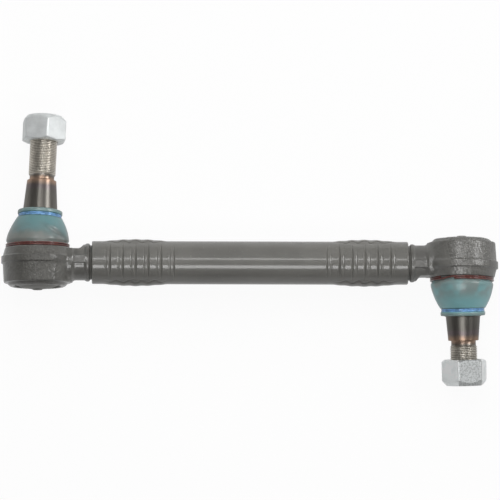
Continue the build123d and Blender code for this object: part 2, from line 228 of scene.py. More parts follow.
class FinishColours(bpy.types.PropertyGroup):
    """Colours of the finishes."""

    paint: colour_setting("Paint", "Satin paint of the tube and heads", slot_colours["painted_steel"])
    steel: colour_setting("Steel", "Turned and hardened steel of the studs", (0.2, 0.19, 0.172))
    thread: colour_setting("Thread", "Cut steel of the thread", (0.78, 0.74, 0.67))
    tint: colour_setting("Heat tint", "Bronze band that hardening leaves", (0.54, 0.36, 0.26))
    zinc: colour_setting("Zinc", "Zinc plate of the nuts", slot_colours["zinc_nut"])
    boot: colour_setting("Boot", "Teal of the boots near the lip", (0.125, 0.258, 0.27))
    boot_low: colour_setting(
        "Boot over metal", "Boot where the dark head shows through", (0.165, 0.172, 0.16))
    # The lip's colour is paler than the boot: partly its own tone and partly a painted highlight along the rim.
    boot_lip: colour_setting("Boot lip", "Rim of the boot's lip", (0.19, 0.28, 0.275))
    ring_red: colour_setting("Housing ring", "Coating of the housing rings", (0.12, 0.036, 0.03))
    ring_blue: colour_setting("Stud ring", "Coating of the stud rings", (0.2, 0.41, 0.7))


class StageSettings(bpy.types.PropertyGroup):
    """Camera, light and floor."""

    distance: length_setting("Distance", "From the camera to the link", 3.18)
    tilt: angle_setting("Tilt", "How far the camera leans towards -Y", radians(6))
    swing: angle_setting("Swing", "How far the camera leans towards -X", radians(1.5))
    shown_width: length_setting("Shown width", "Width of the view at the link", 0.442)
    aim: length_setting("Aim", "Height along Y that the camera looks at", 0.0115)
    lamp_reach: length_setting("Lamp reach", "From the link to its strip and key lamps", 1.3)
    strip_power: power_setting(
        "Strip power", "Power of the strip lamp that draws the tube's highlight", 3.9)
    key_power: power_setting("Key power", "Power of the soft key lamp", 10.5)
    band_reach: length_setting(
        "Band lamp reach", "From the link to the lamps that draw bands on the studs", 3.0)
    band_lift: length_setting("Band lamp lift", "How far those lamps stand to the left stud's side", 0.62)
    band_power: power_setting("Band power", "Power of the lamps that draw bands on the studs", 13.0)
    fill: number_setting("Fill", "Strength of the surrounding light", 0.055)


class LinkSettings(bpy.types.PropertyGroup):
    """Every size and colour of the link."""

    tube: group_setting("Tube", "Sizes of the tube", TubeSizes)
    head: group_setting("Heads", "Skin of the heads", HeadSizes)
    cover: group_setting("Covers", "Sizes of the end covers", CoverSizes)
    stud: group_setting("Studs", "Sizes of the studs", StudSizes)
    boot: group_setting("Boots", "Sizes of the boots", BootSizes)
    ring: group_setting("Rings", "Sizes of the rings", RingSizes)
    nut: group_setting("Nuts", "Sizes of the nuts", NutSizes)
    colour: group_setting("Colours", "Colours of the finishes", FinishColours)
    stage: group_setting("Stage", "Camera, light and floor", StageSettings)


class End:
    """One end of the link: its ball, its housing's axis and its leaning stud, as the frame gives them."""

    def __init__(self, name):
        swing = joints[f"{name}_stud_swing"]
        self.name = name
        self.ball = Vector(swing["pos_m"])
        self.upright = Vector(swing["axis"])
        self.stud_axis = Vector(joints[f"{name}_stud_spin"]["axis"]).normalized()
        self.lean_axis = Vector(joints[f"{name}_stud_tilt"]["axis"]).normalized()
        self.lean = acos(self.upright.dot(self.stud_axis))
        inward = self.upright.cross(Vector((0, 0, 1)))
        turn = Matrix((inward, self.upright, Vector((0, 0, 1)))).transposed()
        self.housing_place = Matrix.Translation(self.ball) @ turn.to_4x4()
        self.stud_place = self.leaned(1.0)

    def leaned(self, share):
        """The place of a piece that leans by a share of the stud's lean."""
        lean = Matrix.Rotation(self.lean * share, 4, self.lean_axis)
        turn = self.housing_place.to_3x3().to_4x4()
        return Matrix.Translation(self.ball) @ lean @ turn

    def along_stud(self, point):
        """A point's distance from the ball along the stud."""
        return (Vector(point) - self.ball).dot(self.stud_axis)

    def to_upright(self, point):
        """A point of the row's frame in the housing's own frame, with its lean taken out."""
        return self.stud_place.inverted() @ Vector(point)

    def node_points(self, kind):
        """The corners of one of this end's nodes, in the stud's own frame."""
        back = self.stud_place.inverted()
        return [back @ corner.co for corner in frame["nodes"][f"{self.name}_{kind}"].data.vertices]


ends = [End("left"), End("right")]


def soft_min(a, b, width):
    """The lower of two values, with a soft change from one to the other."""
    share = np.clip(0.5 + 0.5 * (b - a) / width, 0, 1)
    return b * (1 - share) + a * share - width * share * (1 - share)


def soft_max(a, b, width):
    """The higher of two values, with a soft change from one to the other."""
    return -soft_min(-a, -b, width)


def smooth_step(value):
    """A value that is held between 0 and 1 and eased at both ends."""
    held = np.clip(value, 0, 1)
    return held * held * (3 - 2 * held)


def within(value, low, high, low_soft, high_soft):
    """0 outside two limits and 1 well inside them, eased over a soft width at each."""
    return smooth_step((value - low) / low_soft) * smooth_step((high - value) / high_soft)


def rounded(corners, closed=False, steps=6):
    """An outline of (radius, height) through (radius, height, fillet) corners.

    A long side gets one more point beside each fillet, which keeps its shading even.
    """
    longest_cut, long_side, beside = 0.42, 0.3, 0.4
    outline = []
    count = len(corners)
    for number, (radius, height, fillet) in enumerate(corners):
        corner = np.array((radius, height))
        ends_here = not closed and number in (0, count - 1)
        if ends_here or fillet == 0:
            outline.append(corner)
            continue
        before = np.array(corners[number - 1][:2]) - corner
        after = np.array(corners[(number + 1) % count][:2]) - corner
        lengths = np.linalg.norm(before), np.linalg.norm(after)
        before, after = before / lengths[0], after / lengths[1]
        half = acos(np.clip(before @ after, -1, 1)) / 2
        cut = min(fillet / max(tan(half), 1e-6), longest_cut * min(lengths))
        start, finish = corner + cut * before, corner + cut * after
        if cut < long_side * lengths[0]:
            outline.append(start + beside * cut * before)
        for step in range(steps + 1):
            share = step / steps
            outline.append((1 - share)**2 * start + 2 * share * (1 - share) * corner + share**2 * finish)
        if cut < long_side * lengths[1]:
            outline.append(finish + beside * cut * after)
    return np.array(outline)


def round_grid(angle, rows):
    """Points round the Y axis for rows of a radius and a height, each one number or one for each angle."""
    full = np.ones_like(angle)
    return np.array([
        np.stack([radius * np.sin(angle), height * full, radius * np.cos(angle)], axis=-1)
        for radius, height in rows
    ])


def columns_round(count):
    """Evenly spaced angles round a circle."""
    return np.linspace(0, ROUND, count, endpoint=False)


def skin(name, grid, closed=False, sharp=SHARP_EDGE):
    """A mesh object over a grid whose columns run round it. Its end rows close with fans of faces."""
    rows, columns = grid.shape[:2]
    index = np.arange(rows * columns).reshape(rows, columns)
    if closed:
        index = np.concatenate([index, index[:1]])
    beside = np.roll(index, -1, axis=1)
    points = grid.reshape(-1, 3)
    quads = np.stack([index[:-1], beside[:-1], beside[1:], index[1:]], axis=-1)
    faces = quads.reshape(-1, 4).tolist()
    if not closed:
        middles = np.array([grid[0].mean(axis=0), grid[-1].mean(axis=0)])
        points = np.concatenate([points, middles])
        for row, middle in ((0, rows * columns), (-1, rows * columns + 1)):
            faces += [[a, b, middle] for a, b in zip(index[row].tolist(), beside[row].tolist())]
    mesh = bpy.data.meshes.new(name)
    mesh.from_pydata(points.tolist(), [], faces)
    return mesh_object(name, mesh, sharp)


def mesh_object(name, mesh, sharp=SHARP_EDGE):
    """A smooth-shaded object of a mesh, with its faces turned outwards."""
    work = bmesh.new()
    work.from_mesh(mesh)
    bmesh.ops.remove_doubles(work, verts=work.verts, dist=1e-7)
    bmesh.ops.recalc_face_normals(work, faces=work.faces)
    work.to_mesh(mesh)
    work.free()
    mesh.shade_smooth()
    mesh.set_sharp_from_angle(angle=sharp)
    piece = bpy.data.objects.new(name, mesh)
    bpy.context.scene.collection.objects.link(piece)
    return piece


def place(piece, matrix, material, body, slot, *nodes):
    """Put a piece in its place, with its finish, its body and the nodes that it replaces. Its slot is not used."""
    piece.matrix_world = matrix
    piece.data.materials.clear()
    piece.data.materials.append(material)
    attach(piece, body)
    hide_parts(*nodes)


def shaded(colour, share):
    """A colour made darker or lighter by a share."""
    return tuple(channel * share for channel in colour)


class Wire:
    """A socket in a node tree. Python's operators on it add Math nodes."""

    def __init__(self, nodes, socket):
        self.nodes = nodes
        self.socket = socket

    def math(self, operation, *values):
        """A Math node over some values."""
        return self.nodes.add("ShaderNodeMath", {"operation": operation}, dict(enumerate(values)))

    def __add__(self, other):
        return self.math("ADD", self, other)

    def __sub__(self, other):
        return self.math("SUBTRACT", self, other)

    def __mul__(self, other):
        return self.math("MULTIPLY", self, other)

    def __rsub__(self, other):
        return self.math("SUBTRACT", other, self)

    def __abs__(self):
        return self.math("ABSOLUTE", self)

    __radd__ = __add__
    __rmul__ = __mul__

    def step(self, low, high):
        """0 below low, 1 above high and a smooth rise between."""
        settings = {"interpolation_type": "SMOOTHSTEP"}
        sockets = {"Value": self, "From Min": low, "From Max": high}
        return self.nodes.add("ShaderNodeMapRange", settings, sockets)

    def band(self, middle, half_width):
        """1 in the middle, falling smoothly to 0 at half a width on either side."""
        return 1 - abs(self - middle).step(0.0, half_width)


class Nodes:
    """A node tree that is being made."""

    def __init__(self, tree):
        self.tree = tree
        tree.nodes.clear()

    def add(self, kind, settings=None, sockets=None, output=0):
        """Add a node, with its settings first and then the value or link of each socket."""
        node = self.tree.nodes.new(kind)
        for name, value in (settings or {}).items():
            setattr(node, name, value)
        for key, value in (sockets or {}).items():
            socket = self.find(node.inputs, key)
            if isinstance(value, Wire):
                self.tree.links.new(value.socket, socket)
            elif socket.type == "RGBA":
                socket.default_value = (*value[:3], 1.0)
            else:
                socket.default_value = value
        if not node.outputs:
            return node
        return Wire(self, self.find(node.outputs, output))

    @staticmethod
    def find(sockets, key):
        """A socket that is in use, by its name or its number."""
        used = [socket for socket in sockets if socket.enabled]
        if isinstance(key, int):
            return used[key]
        return next(socket for socket in used if socket.name == key)

    def mix(self, share, first, second):
        """A colour between two colours."""
        settings = {"data_type": "RGBA"}
        return self.add("ShaderNodeMix", settings, {"Factor": share, "A": first, "B": second})

    def noise(self, place, size, detail=2.0, roughness=0.5):
        """Noise from 0 to 1 whose marks are about size long."""
        sockets = {"Vector": place, "Scale": 1 / size, "Detail": detail, "Roughness": roughness}
        return self.add("ShaderNodeTexNoise", {}, sockets)

    def varied(self, share, colour, low, high):
        """A colour between two shares of itself."""
        return self.mix(share, shaded(colour, low), shaded(colour, high))

    def bump(self, height, depth):
        """A normal that is bent by a height from 0 to 1, as deep as depth."""
        return self.add("ShaderNodeBump", {}, {"Height": height, "Distance": depth, "Strength": 1.0})

    def stretched(self, place, scale):
        """A place that is scaled along X, Y and Z."""
        return self.add("ShaderNodeVectorMath", {"operation": "MULTIPLY"}, {0: place, 1: scale})

    def distance(self, place, point):
        """How far a place is from a point."""
        return self.add("ShaderNodeVectorMath", {"operation": "DISTANCE"}, {0: place, 1: point}, "Value")

    def part_of(self, place, axis):
        """The X, Y or Z of a place."""
        return self.add("ShaderNodeSeparateXYZ", {}, {"Vector": place}, axis)


class Finish(Nodes):
    """A material that is being made, with a Principled shader at its end."""

    def __init__(self, name):
        self.material = bpy.data.materials.new(name)
        self.material.use_nodes = True
        super().__init__(self.material.node_tree)
        self.place = self.add("ShaderNodeTexCoord", {}, {}, "Object")

    def close(self, **sockets):
        """Join the values to the shader, whose sockets are named with _ for a space."""
        named = {name.replace("_", " "): value for name, value in sockets.items()}
        shader = self.add("ShaderNodeBsdfPrincipled", {}, named)
        self.add("ShaderNodeOutputMaterial", {}, {"Surface": shader})
        return self.material


def tube_paint(colour):
    """Satin paint on drawn steel: nearly even, with faint draw lines and a few specks."""
    finish = Finish("satin_paint_tube")
    cloud = finish.noise(finish.place, 0.03, 3)
    lines = finish.noise(finish.stretched(finish.place, (0.05, 1, 1)), 0.0009, 2)
    peel = finish.noise(finish.place, 0.0011, 2)
    specks = finish.noise(finish.place, 0.0016, 1).step(0.735, 0.76)
    tone = finish.varied(cloud.step(0.3, 0.7), colour, 0.93, 1.08)
    tone = finish.mix(specks * 0.5, tone, shaded(colour, 2.0))
    return finish.close(
        Base_Color=tone,
        Roughness=0.27 + cloud * 0.08 + specks * 0.2,
        Metallic=0.0,
        Specular_IOR_Level=0.25,
        Coat_Weight=1.0,
        Coat_Roughness=0.12,
        Normal=finish.bump(peel * 0.6 + lines * 0.5, 0.00004),
    )


def forged_paint(name, colour, patch, patch_reach, sparkle):
    """Satin paint on a forged skin, with a rough patch round one point that sparkles more or less: through gloss
    and through painted highlights on its pebbles.
    """
    finish = Finish(name)
    cloud = finish.noise(finish.place, 0.012, 4)
    pebble = finish.noise(finish.place, 0.0016, 3, 0.6)
    pits = finish.noise(finish.place, 0.0007, 2)
    edge = finish.noise(finish.place, 0.006, 2) * 0.008
    deepened = (1, 1, 0.4)
    middle = [value * scale for value, scale in zip(patch, deepened)]
    reach = finish.distance(finish.stretched(finish.place, deepened), middle)
    rough = 1 - (reach + edge).step(patch_reach * 0.6, patch_reach * 1.35)
    tone = finish.varied(cloud.step(0.3, 0.72), colour, 0.82, 1.12)
    tone = finish.mix(rough * (0.35 * (1 - sparkle)), tone, shaded(colour, 0.4))
    # Painted highlight: the pebbles in the rough patch are painted lighter, more where the patch sparkles.
    tone = finish.mix(pebble.step(0.5, 0.68) * rough * 0.5, tone, shaded(colour, 1.5 + 0.7 * sparkle))
    # Painted shade: the paint is darker in the pits, where the bump is lowest.
    tone = finish.mix((1 - pits.step(0.28, 0.4)) * 0.4, tone, shaded(colour, 0.55))
    deep = 1.5 + 0.9 * sparkle
    height = cloud * (0.25 + rough * 0.6) + pebble * (0.2 + rough * deep) + pits * (0.05 + rough * 0.2)
    return finish.close(
        Base_Color=tone,
        Roughness=0.3 + cloud * 0.1 + rough * (0.14 - 0.28 * sparkle),
        Metallic=0.0,
        Specular_IOR_Level=0.35 + 0.65 * sparkle,
        Coat_Weight=(1 - rough * 0.85) * (1 - 0.85 * sparkle) + rough * (0.35 * sparkle),
        Coat_Roughness=0.14,
        Normal=finish.bump(height, 0.00028),
    )


def cover_paint(colour):
    """Satin paint on a pressed steel disc."""
    finish = Finish("satin_paint_cover")
    cloud = finish.noise(finish.place, 0.008, 3)
    peel = finish.noise(finish.place, 0.0012, 2)
    tone = finish.varied(cloud.step(0.3, 0.7), colour, 0.9, 1.1)
    return finish.close(
        Base_Color=tone,
        Roughness=0.38 + cloud * 0.12,
        Coat_Weight=0.1,
        Coat_Roughness=0.3,
        Normal=finish.bump(peel + cloud, 0.00008),
    )


def turned_steel(name, colours, taper_end, thread_radius_out, shade):
    """Turned steel: fine tool marks, a dark hardened taper, a bronze band and a cut thread."""
    finish = Finish(name)
    height = finish.part_of(finish.place, "Y")
    marks = finish.noise(finish.stretched(finish.place, (0.04, 1, 0.04)), 0.00035, 2)
    streaks = finish.noise(finish.stretched(finish.place, (1, 0.12, 1)), 0.0022, 3)
    cloud = finish.noise(finish.place, 0.007, 3)
    # Painted shade: shade scales this stud's steel, tint and thread, so one end gets a darker copy of the same
    # steel.
    steel = finish.varied(streaks.step(0.3, 0.7), colours.steel, 0.9 * shade, 1.1 * shade)
    wander = height + (cloud - 0.5) * 0.004
    band = wander.band(taper_end - 0.0005, 0.0055)
    violet = wander.band(taper_end - 0.0065, 0.0045)
    on_thread = height.step(taper_end + 0.003, taper_end + 0.0055)
    tone = finish.mix(violet * 0.35, steel, shaded((0.28, 0.2, 0.24), 0.8))
    tone = finish.mix(band * 0.85, tone, shaded(colours.tint, shade))
    bright = 0.4 + 0.6 * shade
    thread = finish.varied(cloud.step(0.3, 0.7), colours.thread, 0.9 * bright, 1.15 * bright)
    # Painted shade: the thread is darker down in its groove, below the tips.
    radius = finish.distance(finish.stretched(finish.place, (1, 0, 1)), (0, 0, 0))
    root = 1 - radius.step(thread_radius_out - 0.0008, thread_radius_out - 0.0001)
    thread = finish.mix(root * 0.5, thread, shaded(colours.thread, 0.3))
    tone = finish.mix(on_thread, tone, thread)
    return finish.close(
        Base_Color=tone,
        Metallic=1.0,
        Roughness=0.3 + streaks * 0.08 + on_thread * 0.06,
        Normal=finish.bump(marks * (1 - on_thread), 0.00002),
    )


def zinc_plate(name, colour, stain):
    """Dull zinc plate, with one face of the nut stained and mottled more or less."""
    finish = Finish(name)
    cloud = finish.noise(finish.place, 0.009, 3)
    spots = finish.noise(finish.place, 0.0014, 3, 0.65)
    fine = finish.noise(finish.place, 0.0005, 2)
    brush = finish.noise(finish.stretched(finish.place, (0.1, 1, 0.1)), 0.0006, 2)
    tone = finish.varied(cloud.step(0.3, 0.7), colour, 0.92, 1.08)
    across = finish.part_of(finish.place, "X")
    stained = across.step(-0.0149, -0.0141) * (1 - across.step(0.0057, 0.0065))
    tone = finish.mix((0.62 + spots.step(0.47, 0.6) * 0.38) * stained * stain, tone, shaded(colour, 0.35))
    return finish.close(
        Base_Color=tone,
        Metallic=0.7,
        Roughness=0.38 + spots * 0.2,
        Normal=finish.bump(spots * 0.7 + fine * 0.4 + brush * 0.4, 0.00007),
    )


def boot_rubber(name, colours, clear, light):
    """Teal rubber, greyed by the metal under it near the housing by how clear it is."""
    finish = Finish(name)
    rise = finish.add("ShaderNodeAttribute", {"attribute_name": "rise"}, {}, "Fac")
    cloud = finish.noise(finish.place, 0.014, 3)
    smear = finish.noise(finish.stretched(finish.place, (0.4, 1.2, 0.4)), 0.007, 3)
    film = finish.noise(finish.place, 0.0009, 2)
    climb = rise + (cloud - 0.5) * 0.45
    crease = finish.add("ShaderNodeAttribute", {"attribute_name": "crease"}, {}, "Fac")
    # Painted light: light scales the teal, so one boot gets a lighter copy of the same rubber.
    teal = shaded(colours.boot, light)
    tone = finish.mix(climb.step(0.8 * clear - 0.7, 0.9 * clear), colours.boot_low, teal)
    # Painted shade: the rubber is darker along the slanting crease.
    tone = finish.mix(crease * 0.55, tone, shaded(colours.boot_low, 0.45))
    tone = finish.mix(smear.step(0.5, 0.75) * 0.35, tone, shaded(teal, 1.25))
    blotch = finish.noise(finish.place, 0.02, 2).step(0.42, 0.6) * (1 - rise.step(0.3, 0.65))
    tone = finish.mix(blotch * 0.7, tone, shaded(colours.boot_low, 1.3))
    # Painted shadow: a dark band round the throat, just under the stud ring.
    tone = finish.mix(rise.band(0.79, 0.016) * 0.8, tone, shaded(colours.boot, 0.3))
    # Painted highlight in part: the lip's paler colour also stands in for the highlight along its rounded rim.
    tone = finish.mix(rise.step(0.9, 0.93), tone, colours.boot_lip)
    return finish.close(
        Base_Color=tone,
        Roughness=0.28 + smear * 0.16,
        Subsurface_Weight=0.12,
        Subsurface_Radius=(0.4, 1.0, 1.0),
        Subsurface_Scale=0.002,
        Coat_Weight=0.4,
        Coat_Roughness=0.2,
        Normal=finish.bump(film * 0.3 + cloud, 0.00008),
    )


def coated_wire(name, colour, worn):
    """Coated spring wire, worn a little to the metal."""
    finish = Finish(name)
    wear = finish.noise(finish.place, 0.004, 4, 0.65)
    fine = finish.noise(finish.place, 0.0006, 2)
    tone = finish.varied(wear.step(0.35, 0.6), colour, 0.75, 1.2)
    tone = finish.mix(wear.step(0.62, 0.7) * worn, tone, (0.3, 0.24, 0.2))
    return finish.close(
        Base_Color=tone,
        Roughness=0.24 + wear * 0.2,
        Metallic=0.2,
        Coat_Weight=0.7,
        Coat_Roughness=0.1,
        Normal=finish.bump(fine + wear, 0.00004),
    )


def hidden_finish(name, colour, metallic, roughness, grain):
    """Finish of a piece inside the joint."""
    finish = Finish(name)
    cloud = finish.noise(finish.place, grain, 3)
    fine = finish.noise(finish.place, grain / 6, 2)
    tone = finish.varied(cloud, colour, 0.85, 1.12)
    return finish.close(
        Base_Color=tone,
        Metallic=metallic,
        Roughness=roughness + cloud * 0.12,
        Normal=finish.bump(fine, 0.00003),
    )


def groove_floor(angle, radius, depth, half_angle):
    """Radius of the jaw's edge round the tube: deepest in front, level with the tube at the half angle."""
    floor = radius - depth
    offset = (radius**2 - floor**2) / (2 * floor - 2 * radius * cos(half_angle))
    reach = floor + offset
    return np.sqrt(reach**2 - (offset * np.sin(angle))**2) - offset * np.cos(angle)


def notch(distance, round_bottom=0.00035, slope=1.7):
    """How far a groove's side rises at a distance from its middle."""
    return slope * (np.sqrt(distance**2 + round_bottom**2) - round_bottom)


def crimped_radius(along, angle, tube):
    """Radius of the tube, by the distance from its end and the angle from the jaws' line."""
    radius = np.full(np.broadcast(along, angle).shape, tube.radius)
    from_jaw = np.arccos(np.abs(np.cos(angle)))
    soft, light_groove, crease_reach = 0.00025, 0.55, 0.8
    crease = groove_floor(from_jaw, tube.radius, tube.crease_depth, tube.groove_angle * crease_reach)
    for number in range(tube.groove_count):
        middle = tube.groove_first + number * tube.groove_pitch
        is_last = number == tube.groove_count - 1
        depth = tube.groove_depth * (light_groove if is_last else 1)
        floor = groove_floor(from_jaw, tube.radius, depth, tube.groove_angle)
        radius = soft_min(radius, floor + notch(along - middle), soft)
        crease_side = notch(along - middle + tube.crease_back, round_bottom=0.0006, slope=1.0)
        radius = soft_min(radius, crease + crease_side, soft)
    span = (tube.groove_count - 1) * tube.groove_pitch
    share = (along - tube.groove_first + 0.5 * tube.groove_pitch) / span
    hump = np.maximum(np.sin(pi * np.clip(share, 0, 1)), 0)
    beat = np.cos(pi * (along - tube.groove_first) / tube.groove_pitch)**2
    swell = tube.ridge_height * hump + tube.ridge_bump * beat * hump**0.5
    ridge_round = 0.012
    centre = tube.radius - ridge_round
    ridge = centre * np.sin(from_jaw) + np.sqrt((ridge_round + swell)**2 - (centre * np.cos(from_jaw))**2)
    ridge = np.where(hump > 0, ridge, 0)
    radius = soft_max(radius, ridge, soft)
    scallop = tube.jaw_edge + tube.jaw_scallop * (2 * beat - 1)
    seam = np.exp(-((from_jaw - scallop) / tube.jaw_seam_angle)**2)
    return radius - tube.jaw_seam_depth * seam * hump**0.5


class LINK_OT_make_tube(bpy.types.Operator):
    """Make the tube, with its crimped ends"""

    bl_idname = "link.make_tube"
    bl_label = "Tube"

    def execute(self, context):
        settings = context.scene.stabilizer_link
        tube = settings.tube
        half = ends[1].ball.x - tube.setback
        crimp_length = tube.groove_first + (tube.groove_count + 0.3) * tube.groove_pitch
        from_end = np.concatenate([
            np.linspace(tube.chamfer * 1.3, crimp_length, 230),
            np.linspace(crimp_length, half, 12)[1:],
        ])
        angle = columns_round(216)
        outer = crimped_radius(from_end[:, None], angle[None, :], tube)
        bore_edge = 0.0004
        face = [
            (tube.bore + bore_edge, 0),
            (tube.radius - tube.chamfer, 0),
            (tube.radius - tube.chamfer * 0.4, tube.chamfer * 0.3),
        ]
        left_half = [(radius, x - half) for radius, x in [*face, *zip(outer, from_end)]]
        right_half = [(radius, -x) for radius, x in left_half[::-1][1:]]
        bore = [(tube.bore, half - bore_edge), (tube.bore, bore_edge - half)]
        grid = round_grid(angle, left_half + right_half + bore)[..., [1, 0, 2]]
        piece = skin("crimped_tube", grid, closed=True)
        paint = tube_paint(settings.colour.paint)
        place(piece, Matrix.Identity(4), paint, LINK_BODY, "painted_steel", "tube")
        return {"FINISHED"}


def applied(piece, rounds, group=""):
    """A piece's mesh after its modifiers and some rounds of smoothing. The piece itself is removed."""
    smooth = piece.modifiers.new("smooth", "SMOOTH")
    smooth.factor = 0.5
    smooth.iterations = rounds
    smooth.vertex_group = group
    bpy.context.view_layer.update()
    shape = bpy.data.meshes.new_from_object(piece.evaluated_get(bpy.context.evaluated_depsgraph_get()))
    bpy.data.objects.remove(piece)
    return shape


def remeshed(name, node, grain, rounding):
    """A copy of a CAD node's surface with soft edges and even faces."""
    source = mesh_object(name, frame["nodes"][node].data.copy())
    remesh = source.modifiers.new("even faces", "REMESH")
    remesh.mode = "VOXEL"
    remesh.voxel_size = grain
    return applied(source, rounding)


def filleted(mesh, end, rounds):
    """Soften a head's mesh where its neck joins the eye."""
    piece = bpy.data.objects.new("head_before_fillet", mesh)
    bpy.context.scene.collection.objects.link(piece)
    group = piece.vertex_groups.new(name="junction")
    back = end.housing_place.inverted()
    least_weight = 0.01
    for vertex in mesh.vertices:
        point = back @ vertex.co
        reach = sqrt(point.x**2 + point.z**2)
        near = within(reach, 0.0275, 0.038, 0.002, 0.004)
        level = within(point.y, -0.0178, 0.0112, 0.002, 0.002)
        inward = smooth_step((point.x - 0.012) / 0.006)
        weight = float(near * level * inward)
        if weight > least_weight:
            group.add([vertex.index], weight, "REPLACE")
    return applied(piece, rounds, group.name)


def roughened(mesh, end, waves):
    """Move a head's points by noise, less on its neck. A wave is a size, a depth and a seed."""
    points = [vertex.co.copy() for vertex in mesh.vertices]
    normals = [vertex.normal.copy() for vertex in mesh.vertices]
    neck_start, neck_soft, neck_loss = 0.026, 0.005, 0.85
    for vertex, point, normal in zip(mesh.vertices, points, normals):
        shift = 0.0
        share = 1 - neck_loss * smooth_step((abs(point.x - end.ball.x) - neck_start) / neck_soft)
        for size, depth, seed in waves:
            shift += share * depth * noise.noise(point / size + Vector((seed, seed, seed)))
        vertex.co = point + normal * shift


class LINK_OT_make_heads(bpy.types.Operator):
    """Make the forged heads, with soft edges and a forged skin"""

    bl_idname = "link.make_heads"
    bl_label = "Forged heads"

    def execute(self, context):
        settings = context.scene.stabilizer_link
        head = settings.head
        patch_reach = 0.024
        patches = {"left": ((0.002, -0.004, 0.026), 0.0), "right": ((0.005, 0.010, 0.026), 1.0)}
        for number, end in enumerate(ends):
            mesh = remeshed(f"{end.name}_head_skin", f"{end.name}_forged_head", head.grain, head.rounding)
            mesh = filleted(mesh, end, head.fillet)
            waves = (0.009, head.waviness, 3.1 + 7 * number), (0.0022, head.pebbles, 11.7 + 5 * number)
            roughened(mesh, end, waves)
            piece = mesh_object(f"{end.name}_head", mesh, radians(180))
            offset, sparkle = patches[end.name]
            colour = shaded(settings.colour.paint, head.darkness)
            patch = end.ball + Vector(offset)
            paint = forged_paint(f"forged_paint_{end.name}", colour, patch, patch_reach, sparkle)
            place(piece, Matrix.Identity(4), paint, LINK_BODY, "painted_steel", f"{end.name}_forged_head")
        return {"FINISHED"}


class LINK_OT_make_covers(bpy.types.Operator):
    """Make the domed end covers"""

    bl_idname = "link.make_covers"
    bl_label = "End covers"

    def execute(self, context):
        settings = context.scene.stabilizer_link
        cover = settings.cover
        edge = 0.0005
        middle = (cover.dome_radius + cover.button_radius) / 2
        shoulder = cover.seat + edge
        bulge = shoulder + 0.7 * (cover.crown - shoulder)
        hollow_depth = sqrt(cover.hollow**2 - cover.top**2)
        corners = [
            (0, -cover.crown - cover.button_height, 0),
            (cover.button_radius - edge, -cover.crown - cover.button_height, edge),
            (cover.button_radius, -cover.crown, edge),
            (middle, -bulge, 0.02),
            (cover.dome_radius, -shoulder, edge),
            (cover.dome_radius, -cover.seat, edge / 2),
            (cover.radius, -cover.seat, edge),
            (cover.radius, -cover.top, edge),
            (hollow_depth, -cover.top, edge),
            (hollow_depth * 0.6, -sqrt(cover.hollow**2 - (0.6 * hollow_depth)**2), 0.01),
            (0, -cover.hollow, 0),
        ]
        paint = cover_paint(settings.colour.paint)
        for end in ends:
            piece = skin(f"{end.name}_cover_dome", round_grid(columns_round(144), rounded(corners)))
            place(piece, end.housing_place, paint, LINK_BODY, "painted_steel", f"{end.name}_end_cover")
        return {"FINISHED"}


def thread_radius(height, angle, radius, depth, pitch, start, finish):
    """Radius of a right-hand thread that runs out over a turn at each end."""
    turn = height / pitch - angle / ROUND
    crest = np.abs(2 * (turn - np.floor(turn)) - 1)
    crest_share, flank_share = 0.34, 0.56
    groove = np.clip((crest - crest_share) / flank_share, 0, 1)
    return radius - depth * groove * within(height, start, finish, pitch, pitch)


